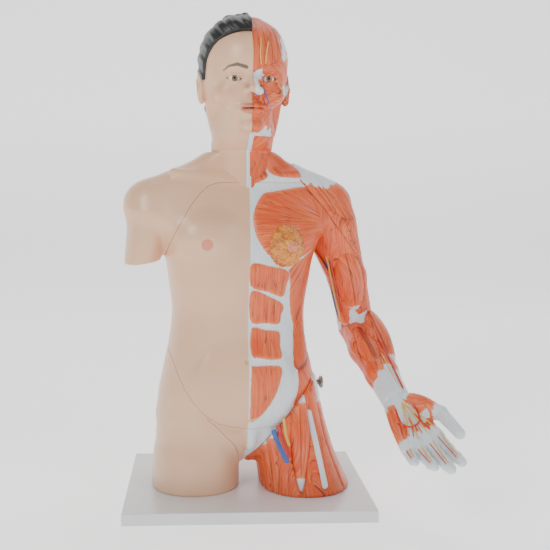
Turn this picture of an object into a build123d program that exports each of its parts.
"""Life-size torso anatomy model on a board: a moulded body shell with a removable front wall,
organs, a head that lifts off and opens, and a muscle arm.

Millimetres, +Z up, origin on the underside of the board at its centre, front towards -Y.
The figure is modelled in its own frame, with its midline on the plane X = 0, and is then
turned a little on the board by FIGURE. The muscle arm and both thighs end in the board's frame.
"""

import os
from math import copysign, cos, pi, sin

from build123d import *

# ---------------------------------------------------------------- driving dimensions
BOARD_W = 440.0
BOARD_D = 340.0
BOARD_T = 21.0
AXIS_X = -12.0  # where the figure's axis stands on the board
TURN = 8.0  # how far the figure is turned towards its left
FIGURE = Location((AXIS_X, 0, 0), (0, 0, TURN))

GAP = 0.5  # clearance between neighbouring pieces that come apart
MUSCLE_WAY = 60.0  # the free way out in front of each removable muscle
SEAM_Y = -2.0  # the flank seam of the front wall lies just in front of the coronal plane
RING_POINTS = 16
ROUNDNESS = 2.4  # superellipse exponent of the trunk's sections
BIG = 1500.0  # side of the cutting blocks, larger than the whole model

# The trunk with both shoulders: height, half width, depth in front, depth behind.
TRUNK = [
    (72, 60, 42, 60),
    (98, 128, 68, 90),
    (135, 149, 84, 104),
    (185, 149, 95, 100),
    (240, 139, 100, 84),
    (300, 127, 98, 74),
    (345, 124, 97, 76),
    (405, 132, 102, 86),
    (455, 142, 104, 96),
    (490, 160, 98, 97),
    (520, 200, 86, 91),
    (550, 214, 72, 82),
    (580, 194, 58, 70),
    (602, 148, 48, 62),
    (622, 100, 44, 58),
    (642, 66, 44, 54),
]
SWAY = -5.0  # the belly stands this far to the figure's right of the chest
SWAY_FROM, SWAY_TO = 490.0, 300.0
# The hollow inside the trunk, with the same four figures.
CAVITY = [
    (112, 104, 56, 72),
    (135, 135, 76, 94),
    (185, 141, 87, 91),
    (240, 131, 92, 75),
    (300, 119, 90, 65),
    (345, 116, 89, 67),
    (405, 124, 94, 77),
    (455, 132, 95, 86),
    (490, 134, 86, 82),
    (520, 120, 72, 72),
    (545, 88, 54, 58),
]

# Cutting planes, each by two points in the figure's XZ plane; they run straight through in Y.
ARM_CUT = ((102, 613), (151, 490))
GROIN_CUT = ((22, 100), (144, 240))
DELTOID_CUT = ((104, 592), (196, 478))

# Thigh stumps in the board's frame: height, x, y, half width, depth in front, depth behind.
THIGH_RIGHT = [(BOARD_T, -95, 2, 82, 95, 92), (80, -93, 2, 81, 92, 94), (150, -88, 2, 72, 80, 86)]
THIGH_LEFT = [
    (BOARD_T, 109, -6, 81, 98, 92),
    (75, 93, -2, 73, 92, 94),
    (130, 79, 2, 70, 84, 92),
    (215, 66, 6, 60, 74, 76),
]
THIGH_WALL = 8.0

# Neck plug and head.
NECK = (2, -6, 56, 54)  # x, y, half width, half depth
NECK_FOOT = 562.0
JAW_Z = 668.0  # under the jaw, where the muscle half of the head ends
HEAD = [
    (644, -8, 56, 54, 50),
    (668, -24, 58, 66, 66),
    (700, -34, 68, 76, 84),
    (740, -38, 75, 80, 98),
    (790, -38, 77, 82, 102),
    (835, -36, 74, 78, 98),
    (866, -34, 60, 62, 78),
    (884, -34, 34, 38, 46),
]  # height, y, half width, depth in front, depth behind
SKULL_HOLLOW = (0, -30, 812, 60, 82, 50)

# The muscle arm, in the board's frame.
SHOULDER = Vector(170, 5, 528)
ELBOW = Vector(222, 60, 305)
WRIST = Vector(257, -145, 201)
KNUCKLES = [Vector(311, -208, 158), Vector(296, -218, 149), Vector(277, -220, 140), Vector(260, -212, 136)]
FINGERTIPS = [Vector(333, -268, 134), Vector(313, -278, 126), Vector(290, -264, 126), Vector(263, -248, 129)]
THUMB = [Vector(290, -165, 192), Vector(322, -190, 192), Vector(338, -242, 172)]

ARM_FREE_Z = 400.0  # below this the arm hangs clear of the trunk and its cutting plane
RECTUS_TOP = Vector(94, -62, 208)  # the removable long muscle of the thigh
RECTUS_FOOT = Vector(95, -90, 32)
RECTUS_R = 18.0
MIDLINE_CUT = 4.0  # below the groin cut, the left thigh starts this far left of the midline
PUBIC_BACK = -30.0

SCREW_Z = 199.0  # height of the hip screw, which runs level towards the figure's left
SCREW_TIP = 60.0
SCREW_R = 4.0
NUT_R = 8.0
NUT_LENGTH = 22.0
HIP_X = 145.8  # where the hip's surface is at the screw

PIN_R = 1.8
PIN_REACH = 5.0
PIN_HEIGHTS = (300, 345)
BOARD_SCREW_R = 2.5
BOARD_SCREW_HEAD = 5.2
BOARD_SCREWS_RIGHT = [(-158, 2), (-32, 2)]
BOARD_SCREWS_LEFT = [(45, -6), (163, -6)]
PEG_R = 13.0
PEG_LENGTH = 26.0
PEG_PLACE = 0.42  # along the arm cut, from its top
PEG_Y = 17.0  # behind the flank seam, so that the fixed shell carries the arm

VERTEBRAE = 13
GLAND = (67, -94, 470, 34, 30, 39)  # centre and half sizes of the breast gland
EYE_R = 12.0
EYES = (31, -102, 768)


# ---------------------------------------------------------------- helpers
def power(value, exponent):
    return copysign(abs(value) ** exponent, value)


def ring(z, half_width, front, back, x=0.0, y=0.0, roundness=ROUNDNESS):
    """A level, closed section with its own depth in front and behind."""
    points = []
    for i in range(RING_POINTS):
        angle = 2 * pi * i / RING_POINTS
        depth = front if sin(angle) < 0 else back
        points.append(
            (
                x + half_width * power(cos(angle), 2 / roundness),
                y + depth * power(sin(angle), 2 / roundness),
                z,
            )
        )
    return Face(Wire([Edge.make_spline(points, periodic=True)]))


def sway(z):
    """Sideways place of the trunk's section at height z."""
    return SWAY * min(1.0, max(0.0, (SWAY_FROM - z) / (SWAY_FROM - SWAY_TO)))


def trunk_loft(rows):
    return loft([ring(z, w, f, b, x=sway(z)) for z, w, f, b in rows])


def ellipsoid(x, y, z, half_x, half_y, half_z):
    """A ball drawn out along its axes."""
    return Pos(x, y, z) * scale(Sphere(10), (half_x / 10, half_y / 10, half_z / 10))


def ellipsoid_across(x, y, z, half_x, half_y, half_z):
    """The same ball with its poles at the sides, for balls that are cut on the midline."""
    return Pos(x, y, z) * Rot(0, 90, 0) * ellipsoid(0, 0, 0, half_z, half_y, half_x)


def unit(v):
    return v.normalized()


def square_to(direction, towards):
    """The part of towards that is square to direction, at length 1."""
    return unit(towards - direction * towards.dot(direction))


def bone_frame(start, end):
    """A plane at start whose Z runs to end."""
    return Plane(origin=start, z_dir=(end - start))


def belly_side(length, radius, tip, bulge):
    """The side line of a muscle belly that lies along Y: thick at bulge of its length."""
    return Spline((tip, 0), (radius, bulge * length), (tip, length), tangents=[(0.55, 1), (-0.55, 1)])


def spindle(start, end, radius, tip=6.0, bulge=0.45):
    """A muscle belly, drawn in to a blunt tendon at each end."""
    length = (end - start).length
    foot = Line((0, 0), (tip, 0))
    top = Line((tip, length), (0, length))
    profile = make_face(closed(foot, belly_side(length, radius, tip, bulge), top, Line((0, length), (0, 0))))
    return bone_frame(start, end) * revolve(Plane.XZ * profile, Axis.Z)


def muscle_bed(start, end, radius, way, tip=6.0, bulge=0.45):
    """The room a muscle belly takes up, with clearance, as it leaves its place along way."""
    axis = (end - start).normalized()
    start, end = start - axis * GAP, end + axis * GAP
    length = (end - start).length
    side = belly_side(length, radius + GAP, tip + GAP, bulge)
    foot = Line((-tip - GAP, 0), (tip + GAP, 0))
    top = Line((tip + GAP, length), (-tip - GAP, length))
    outline = make_face(closed(foot, side, top, mirror(side, Plane.YZ)))
    flat = Plane(origin=start, x_dir=axis.cross(way), z_dir=way)
    return spindle(start, end, radius + GAP, tip + GAP, bulge) + extrude(flat * outline, MUSCLE_WAY, dir=way)


def limb(points, radii):
    """Round tapered links between points, with a ball at each joint between them."""
    body = Pos(*points[0]) * Sphere(1.04 * radii[0])
    for (p, q), (r, s) in zip(zip(points, points[1:]), zip(radii, radii[1:])):
        link = loft([bone_frame(p, q) * Circle(r), (bone_frame(q, q + (q - p))) * Circle(s)])
        body = body + link + Pos(*q) * Sphere(1.04 * s)
    return body


def slab(cut, inset=0.0, side=1):
    """All space on one side of a cutting plane: side 1 is the outer side, seen from the trunk."""
    (x1, z1), (x2, z2) = cut
    run = Vector(x2 - x1, 0, z2 - z1).normalized()
    normal = Vector(-run.Z, 0, run.X)
    if normal.X < 0:
        normal = normal * -1
    start = Vector((x1 + x2) / 2, 0, (z1 + z2) / 2) + normal * inset
    block = Box(BIG, BIG, BIG, align=(Align.CENTER, Align.CENTER, Align.MIN))
    return Plane(origin=start, x_dir=(0, 1, 0), z_dir=normal * side) * block


def groin_zone(gap=0.0):
    """Everything that belongs to the left thigh: outside the groin cut and left of the midline."""
    left = Box(BIG, BIG, BIG, align=(Align.MIN, Align.CENTER, Align.CENTER))
    return slab(GROIN_CUT, inset=gap) & Pos(MIDLINE_CUT + gap, 0, BIG / 4) * left


def normal_of(cut):
    (x1, z1), (x2, z2) = cut
    run = Vector(x2 - x1, 0, z2 - z1).normalized()
    normal = Vector(-run.Z, 0, run.X)
    return normal if normal.X > 0 else normal * -1


def prism(outline, near, far):
    """A closed outline in XZ, run through in Y from near to far."""
    face = Plane.XZ.offset(-near) * make_face(outline)
    return extrude(face, amount=(near - far))


def closed(*lines):
    """One closed wire from lines and curves that meet end to end."""
    return Wire([edge for line in lines for edge in line.edges()])


def one(shape):
    """The largest solid of a result, so that slivers are dropped."""
    return max(shape.solids(), key=lambda s: s.volume)


# ---------------------------------------------------------------- outlines of the seams
def front_wall_outline(gap=0.0):
    """The seam of the removable chest and belly wall, seen from the front, moved out by gap."""
    g = gap
    collar = Line((-50, 584 + g), (170 + g, 584 + g))
    left_side = Polyline(
        (170 + g, 584 + g), (170 + g, 500), (146 + g, 478), (175, 440), (175, 141 - g), (48, 141 - g)
    )
    bottom = Spline(
        (48, 141 - g),
        (0, 142 - g),
        (-55, 153 - g),
        (-97 - g, 188 - g),
        (-122 - g, 232),
        (-140 - g, 296),
        (-175, 330),
    )
    right_side = Polyline((-175, 330), (-175, 425), (-146 - g, 436), (-138 - g, 472))
    armhole = Spline((-138 - g, 472), (-118 - g, 516), (-82 - g, 566 + g), (-50, 584 + g))
    return closed(collar, left_side, bottom, right_side, armhole)


def pubic_outline(gap=0.0):
    """The insert from the groin crease to the left thigh; the belly wall's seam closes it above."""
    g = gap
    crease = Spline((-74, 175), (-74, 160 - g), (-58, 146 - g), (-22, 108 - g), (-8 - g, 60))
    rest = Polyline((-8 - g, 60), (60, 60), (60, 175), (-74, 175))
    return closed(crease, rest)


# ---------------------------------------------------------------- the trunk and its walls
def arm_stump_right():
    """The right arm, cut off a hand's breadth below the armpit."""
    rows = [(436, -183, 33, 46), (475, -178, 36, 52), (520, -165, 40, 56)]
    return loft([ring(z, w, d, d, x=x) for z, x, w, d in rows])


def cut_thigh(rows):
    return loft([ring(z, w, f, b, x=x, y=y) for z, x, y, w, f, b in rows])


def thigh_hollow(rows, top):
    """The space inside a thigh stump, open at the board."""
    inner = [
        (z - (1 if i == 0 else 0), x, y, w - THIGH_WALL, f - THIGH_WALL, b - THIGH_WALL)
        for i, (z, x, y, w, f, b) in enumerate(rows)
        if z <= top
    ]
    return cut_thigh(inner)


def neck_prism(grow=0.0, foot=NECK_FOOT, top=642.0):
    x, y, w, d = NECK
    rows = [ring(z, w + grow, d + grow, d + grow, x=x, y=y, roundness=2.0) for z in (foot, top)]
    return loft(rows)


def screw_axis(x):
    return Plane(origin=(x, 6, SCREW_Z), z_dir=(1, 0, 0))


def make_body():
    """The body shell with its hollow, cut into the fixed back, the front wall and the pubic insert."""
    trunk = trunk_loft(TRUNK)
    hollow = trunk_loft(CAVITY) & slab(GROIN_CUT, inset=-10, side=-1)
    thigh = FIGURE.inverse() * cut_thigh(THIGH_RIGHT)
    thigh_space = FIGURE.inverse() * thigh_hollow(THIGH_RIGHT, 100)
    trunk_side = (trunk & slab(ARM_CUT, side=-1)) - groin_zone()
    whole = trunk_side + arm_stump_right() + thigh
    shell = whole - hollow - thigh_space - neck_prism(GAP, NECK_FOOT, 700)

    front_zone = prism(front_wall_outline(), -BIG / 2, SEAM_Y)
    front_zone_wide = prism(front_wall_outline(GAP), -BIG / 2, SEAM_Y + GAP)
    pubic_zone = prism(pubic_outline(), -BIG / 2, PUBIC_BACK)
    pubic_zone_wide = prism(pubic_outline(GAP), -BIG / 2, PUBIC_BACK + GAP)

    front_wall = one(shell & front_zone) - wall_pins(PIN_R + 0.15, PIN_REACH + 0.5)
    pubic_insert = one((trunk & pubic_zone) - front_zone_wide - groin_zone() - hollow)
    back = one(shell - front_zone_wide - pubic_zone_wide)
    boss = screw_axis(SCREW_TIP - 4) * extrude(Circle(16), 40) & slab(GROIN_CUT, side=-1)
    back = one(back + (boss - front_zone_wide))
    back = FIGURE.inverse() * with_screw_bosses(FIGURE * back, BOARD_SCREWS_RIGHT)
    shank_hole = screw_axis(SCREW_TIP - 4) * extrude(Circle(SCREW_R + 0.3), 120)
    back = back - wall_pins(PIN_R, PIN_REACH) - screw_nut() - shank_hole - arm_peg(GAP / 2, 0.5)
    return trunk, back, front_wall, pubic_insert


def wall_pins(radius, reach):
    """Locating pins across the flank seam, half in the back shell and half in the front wall."""
    outer = {z: w for z, w, _, _ in TRUNK}
    inner = {z: w for z, w, _, _ in CAVITY}
    pins = []
    for z in PIN_HEIGHTS:
        for side in (-1, 1):
            x = sway(z) + side * (outer[z] + inner[z]) / 2
            pins.append(Pos(x, SEAM_Y + reach, z) * Rot(90, 0, 0) * extrude(Circle(radius), 2 * reach))
    return Compound(children=pins)


def screw_nut():
    """The threaded insert that the hip screw turns in."""
    return screw_axis(SCREW_TIP) * extrude(Circle(NUT_R), NUT_LENGTH)


def arm_peg(grow=0.0, deeper=0.0):
    """The plug that carries the arm: a round peg square to the arm's cutting plane."""
    normal = normal_of(ARM_CUT)
    (x1, z1), (x2, z2) = ARM_CUT
    middle = Vector(x1, 0, z1) + (Vector(x2, 0, z2) - Vector(x1, 0, z1)) * PEG_PLACE
    start = middle + Vector(0, PEG_Y, 0) - normal * (PEG_LENGTH + deeper)
    return Plane(origin=start, z_dir=normal) * extrude(Circle(PEG_R + grow), PEG_LENGTH + deeper + 1)


def make_left_thigh(trunk):
    """The muscle thigh below the groin cut, in the board's frame, and the long muscle in front of it."""
    stump = FIGURE * (trunk & groin_zone(GAP)) + (cut_thigh(THIGH_LEFT) & FIGURE * groin_zone(GAP))
    stump = one(stump) - thigh_hollow(THIGH_LEFT, 140)
    muscle = one(spindle(RECTUS_TOP, RECTUS_FOOT, RECTUS_R, bulge=0.5) & FIGURE * groin_zone(GAP))
    way = square_to((RECTUS_FOOT - RECTUS_TOP).normalized(), Vector(0, -1, 0))
    bed = muscle_bed(RECTUS_TOP, RECTUS_FOOT, RECTUS_R, way, bulge=0.5)
    hole = FIGURE * (screw_axis(SCREW_TIP - 4) * extrude(Circle(SCREW_R + 0.3), 120))
    return with_screw_bosses(one(stump - bed - hole), BOARD_SCREWS_LEFT), muscle


def hip_screw():
    """A hand screw: threaded shank, collar and a flared knob, revolved about its own axis."""
    tip = SCREW_TIP + 2
    collar = HIP_X - tip
    knob = collar + 5.5
    profile = Polyline(
        (0, 0),
        (SCREW_R, 0),
        (SCREW_R, collar + 1),
        (SCREW_R, knob),
        (6.0, knob + 0.5),
        (4.8, knob + 5),
        (11.5, knob + 9),
        (11.5, knob + 12.5),
        (0, knob + 13.5),
        (0, 0),
    )
    return screw_axis(tip) * revolve(Plane.XZ * make_face(profile), Axis.Z)


def hip_washer():
    """The black bush between the hip and the knob."""
    return screw_axis(HIP_X) * (extrude(Circle(6.5), 5) - extrude(Circle(SCREW_R + 0.2), 5))


# ---------------------------------------------------------------- organs
def make_organs():
    """Every organ stands free in the hollow, clear of the front wall's edge on its way out."""
    organs = {}
    heart = ellipsoid(12, -38, 446, 40, 34, 48)
    heart_again = ellipsoid_across(12, -38, 446, 39.8, 33.8, 47.8)
    ahead = Plane(origin=(12, -38, 446), x_dir=(1, 0, 0), z_dir=(0, -1, 0))
    heart_way = ellipsoid(12, -38, 446, 41.5, 35.5, 49.5) + extrude(ahead * Ellipse(41.5, 49.5), 120)
    behind = Pos(0, 21, 0) * Box(38, BIG, 2 * BIG, align=(Align.CENTER, Align.MIN, Align.CENTER))
    between = Box(20, BIG, 2 * BIG) + behind
    lung_rows = [(388, 46, 58, 46), (430, 48, 62, 52), (480, 44, 56, 50), (520, 34, 42, 40)]
    right = loft([ring(z, w, f, b, x=-66 + 0.14 * (z - 388), roundness=2.2) for z, w, f, b in lung_rows])
    organs["lung_right"] = one(right - heart_way - between)
    organs["lung_left"] = one(mirror(right, Plane.YZ) - heart_way - between)
    front_half = Pos(0, -40, 0) * Box(BIG, BIG, 2 * BIG, align=(Align.CENTER, Align.MAX, Align.CENTER))
    organs["heart_front"] = heart & front_half
    organs["heart_back"] = heart_again - Pos(0, GAP, 0) * front_half
    liver_zone = Pos(12, 0, 330) * Box(BIG, BIG, 100, align=(Align.MAX, Align.CENTER, Align.MIN))
    organs["liver"] = one(ellipsoid(-52, -26, 348, 60, 44, 34) & liver_zone)
    organs["stomach"] = ellipsoid(60, -24, 346, 42, 40, 31)
    frame_line = FilletPolyline(
        (-86, -40, 212), (-86, -40, 286), (84, -40, 290), (84, -40, 204), (30, -40, 190), radius=22
    )
    colon = sweep(Plane(origin=frame_line @ 0, z_dir=frame_line % 0) * Circle(17), path=frame_line)
    organs["large_intestine"] = colon + Pos(-86, -40, 212) * Sphere(17) + Pos(30, -40, 190) * Sphere(17)
    organs["small_intestine"] = ellipsoid(-4, -40, 240, 58, 38, 26)
    wall = Pos(0, 54, 0) * Box(BIG, BIG, BIG, align=(Align.CENTER, Align.MIN, Align.CENTER))
    kidneys = [ellipsoid_across(x, 42, 318, 20, 16, 38) - wall for x in (-57, 47)]
    organs["kidneys"] = Compound(children=kidneys)
    organs["bladder"] = ellipsoid(-14, -22, 174, 26, 24, 16)
    floor, ceiling = CAVITY[0][0], CAVITY[-1][0]
    spine = Pos(0, 40, floor) * extrude(Circle(13), ceiling - floor)
    for i in range(VERTEBRAE):
        spine = spine + Pos(0, 40, floor + 6 + 33 * i) * extrude(Circle(16.5), 24)
    organs["spine"] = spine
    organs["windpipe"] = Pos(0, 8, 431) * (extrude(Circle(8.5), ceiling - 431) - extrude(Circle(6.5), 200))
    return organs


# ---------------------------------------------------------------- head and neck
def make_head():
    """The neck plug with the skin half of the head, the muscle half, the brain and the eyes."""
    middle, eye_y, eye_z = 2, EYES[1], EYES[2]
    x, y, w, d = NECK
    skull = loft([ring(z, hw, f, b, y=yy, x=middle, roundness=2.2) for z, yy, hw, f, b in HEAD])
    neck = loft([ring(z, w, d, d, x=x, y=y, roundness=2.0) for z in (NECK_FOOT + GAP, 654)])
    nose = loft([Pos(middle, -112, 738) * Ellipse(12, 16), Pos(middle, -110, 776) * Ellipse(6, 8)])
    ears = [Pos(middle + side * 77, -28, 762) * ellipsoid(0, 0, 0, 7, 18, 31) for side in (-1, 1)]
    hx, hy, hz, rx, ry, rz = SKULL_HOLLOW
    hollow = ellipsoid_across(middle + hx, hy, hz, rx, ry, rz)
    sockets = [Pos(middle + side * EYES[0], eye_y, eye_z) * Sphere(EYE_R + 0.2) for side in (-1, 1)]
    whole = one(skull + neck + nose) - hollow - sockets[0] - sockets[1]
    above = Box(BIG, BIG, BIG, align=(Align.CENTER, Align.CENTER, Align.MIN))
    hair = (ellipsoid_across(middle, -20, 816, 80, 92, 79) & Pos(0, 0, 746) * above) - hollow
    left = Pos(middle, 0, BIG) * Box(BIG, BIG, 2 * BIG, align=(Align.MIN, Align.CENTER, Align.CENTER))
    left_wide = Pos(-GAP, 0, 0) * left
    brain = ellipsoid_across(middle + hx, hy, hz, rx - 4, ry - 4, rz - 4)
    left_side = one((whole + ears[1]) & left)
    return {
        "head_skin_half": one((whole + ears[0] + hair) - left_wide),
        "head_muscle_half": one(left_side & Pos(0, 0, JAW_Z + GAP) * above),
        "neck_muscles": one(left_side - Pos(0, 0, JAW_Z) * above),
        "brain_right": brain - left_wide,
        "brain_left": brain & left,
        "eye_right": Pos(middle - EYES[0], eye_y, eye_z) * Sphere(EYE_R),
        "eye_left": Pos(middle + EYES[0], eye_y, eye_z) * Sphere(EYE_R),
    }


# ---------------------------------------------------------------- the muscle arm
UPPER = unit(ELBOW - SHOULDER)
LOWER = unit(WRIST - ELBOW)
UPPER_FRONT = square_to(UPPER, Vector(0, -1, 0))
LOWER_OUT = square_to(LOWER, Vector(1, 0, 0))
LOWER_FRONT = LOWER.cross(LOWER_OUT)


def along(start, direction, share, total, *offsets):
    """A point a share of total along a bone, with offsets given as (direction, millimetres)."""
    point = start + direction * (share * total)
    for way, distance in offsets:
        point = point + way * distance
    return point


def make_arm(trunk):
    upper = (ELBOW - SHOULDER).length
    lower = (WRIST - ELBOW).length
    bones = [
        along(SHOULDER, UPPER, 0.10, upper),
        along(SHOULDER, UPPER, 0.55, upper),
        ELBOW,
        along(ELBOW, LOWER, 0.32, lower),
        along(ELBOW, LOWER, 0.66, lower),
        along(ELBOW, LOWER, 1.06, lower),
    ]
    arm = limb(bones, [36, 36, 34, 36, 30, 25])
    shoulder = FIGURE * (trunk + ellipsoid(176, 0, 510, 43, 50, 70))
    below = Pos(0, 0, ARM_FREE_Z) * Box(BIG, BIG, BIG, align=(Align.CENTER, Align.CENTER, Align.MAX))
    outside = FIGURE * (slab(ARM_CUT, inset=GAP) + below)
    deltoid_zone = FIGURE * slab(DELTOID_CUT)
    deltoid_wide = FIGURE * slab(DELTOID_CUT, inset=-GAP)
    hand_side = Plane(origin=WRIST, z_dir=LOWER) * Box(
        BIG, BIG, BIG, align=(Align.CENTER, Align.CENTER, Align.MIN)
    )
    whole = one((one(shoulder & FIGURE * slab(ARM_CUT, inset=GAP)) + arm) & outside)
    deltoid = one(whole & deltoid_zone)
    core = one(whole - deltoid_wide - hand_side)

    biceps_ends = (
        along(SHOULDER, UPPER, 0.24, upper, (UPPER_FRONT, 18)),
        along(SHOULDER, UPPER, 0.92, upper, (UPPER_FRONT, 15)),
    )
    triceps_ends = (
        along(SHOULDER, UPPER, 0.26, upper, (UPPER_FRONT, -18)),
        along(SHOULDER, UPPER, 0.90, upper, (UPPER_FRONT, -16)),
    )
    radial_ends = (
        along(ELBOW, UPPER, -0.10, upper, (LOWER_OUT, 24), (LOWER_FRONT, 4)),
        along(ELBOW, LOWER, 0.66, lower, (LOWER_OUT, 20), (LOWER_FRONT, 8)),
    )
    flexor_ends = (
        along(ELBOW, LOWER, 0.10, lower, (LOWER_FRONT, 14), (LOWER_OUT, -10)),
        along(ELBOW, LOWER, 0.74, lower, (LOWER_FRONT, 14), (LOWER_OUT, -6)),
    )
    pieces = {}
    muscles = (
        ("biceps", biceps_ends, 27, UPPER_FRONT),
        ("triceps", triceps_ends, 27, UPPER_FRONT * -1),
        ("brachioradialis", radial_ends, 21, LOWER_OUT),
        ("forearm_flexor", flexor_ends, 20, LOWER_FRONT - LOWER_OUT),
    )
    for name, (start, end), radius, towards in muscles:
        bed = muscle_bed(start, end, radius, square_to(unit(end - start), towards))
        core = core - bed
        for other in pieces:
            pieces[other] = one(pieces[other] - bed)
        pieces[name] = one(spindle(start, end, radius) - deltoid_wide)
    pieces["arm_core"] = one(core) + FIGURE * arm_peg()
    pieces["deltoid"] = deltoid
    return pieces, Pos(*(LOWER * GAP)) * hand_side


def finger(knuckle, bend, tip, radii):
    """One smooth digit through three points, rounded at its tip."""
    ways = [unit(bend - knuckle), unit(tip - knuckle), unit(tip - bend)]
    rings = [
        Plane(origin=point, z_dir=way) * Circle(radius)
        for point, way, radius in zip((knuckle, bend, tip), ways, radii)
    ]
    return loft(rings) + Pos(*tip) * Sphere(1.04 * radii[2])


def make_hand(hand_side):
    """The hand, held half open with the palm up; hand_side is the space beyond the wrist."""
    knuckle_line = unit(KNUCKLES[0] - KNUCKLES[3])
    centre = (KNUCKLES[0] + KNUCKLES[1] + KNUCKLES[2] + KNUCKLES[3]) * 0.25
    run = unit(centre - WRIST)
    back_of_hand = run.cross(knuckle_line)
    palm_sections = [
        (WRIST - run * 8, 25, 20),
        (WRIST + (centre - WRIST) * 0.35, 34, 18),
        (WRIST + (centre - WRIST) * 0.75, 41, 16),
        (centre + run * 4, 39, 12),
    ]
    palm = loft([Plane(origin=p, x_dir=knuckle_line, z_dir=run) * Ellipse(a, b) for p, a, b in palm_sections])
    hand = palm & hand_side
    for i, (knuckle, tip) in enumerate(zip(KNUCKLES, FINGERTIPS)):
        root = knuckle - run * (12 + i)
        bend = (knuckle + tip) * 0.5 + back_of_hand * 6
        hand = hand + finger(root, bend, tip, [10, 9, 7.5])
    return one(hand + finger(THUMB[0], THUMB[1], THUMB[2], [15, 12, 8.5]))


# ---------------------------------------------------------------- board and fixings
def with_screw_bosses(stump, places):
    """A thigh stump with pillars on its walls, drilled for the board screws."""
    for x, y in places:
        stump = stump + Pos(x, y, BOARD_T) * extrude(Circle(11), 42)
    for x, y in places:
        stump = stump - Pos(x, y, BOARD_T - 1) * extrude(Circle(BOARD_SCREW_R), 38)
    return one(stump)


def countersunk(grow, length):
    """A board screw standing on its head, or with grow the hole that it goes in."""
    shank, head = BOARD_SCREW_R + grow, BOARD_SCREW_HEAD + grow
    cone = Cone(head, shank, head - shank, align=(Align.CENTER, Align.CENTER, Align.MIN))
    return extrude(Circle(shank), length) + cone


def make_board():
    board = Pos(0, 0, BOARD_T / 2) * Box(BOARD_W, BOARD_D, BOARD_T)
    board = fillet(board.edges(), 1.2)
    screws = []
    for x, y in BOARD_SCREWS_RIGHT + BOARD_SCREWS_LEFT:
        board = board - Pos(x, y, 0) * countersunk(0.3, BOARD_T + 1)
        screws.append(Pos(x, y, 0.2) * countersunk(0.0, BOARD_T + 36))
    return board, Compound(children=screws)


def main():
    os.makedirs("parts", exist_ok=True)
    for old in os.listdir("parts"):
        os.remove(os.path.join("parts", old))
    trunk, back, front_wall, pubic_insert = make_body()
    figure_pieces = {"body_shell": back, "front_wall": front_wall, "pubic_insert": pubic_insert}
    x, y, z, half_x, half_y, half_z = GLAND
    figure_pieces["breast_gland"] = one(ellipsoid(x, y, z, half_x, half_y, half_z) - Pos(0, -GAP, 0) * trunk)
    figure_pieces["hip_screw"] = hip_screw()
    figure_pieces["hip_bush"] = hip_washer()
    thread = screw_axis(SCREW_TIP - 1) * extrude(Circle(SCREW_R + 0.05), 40)
    figure_pieces["screw_insert"] = screw_nut() - thread
    figure_pieces["wall_pins"] = wall_pins(PIN_R, PIN_REACH)
    figure_pieces.update(make_organs())
    figure_pieces.update(make_head())
    pieces = {name: FIGURE * shape for name, shape in figure_pieces.items()}
    pieces["left_thigh"], pieces["rectus_femoris"] = make_left_thigh(trunk)
    arm_pieces, hand_side = make_arm(trunk)
    pieces.update(arm_pieces)
    pieces["hand"] = make_hand(hand_side)
    pieces["board"], pieces["board_screws"] = make_board()
    for name, shape in pieces.items():
        export_step(shape, f"parts/{name}.step")


if __name__ == "__main__":
    main()
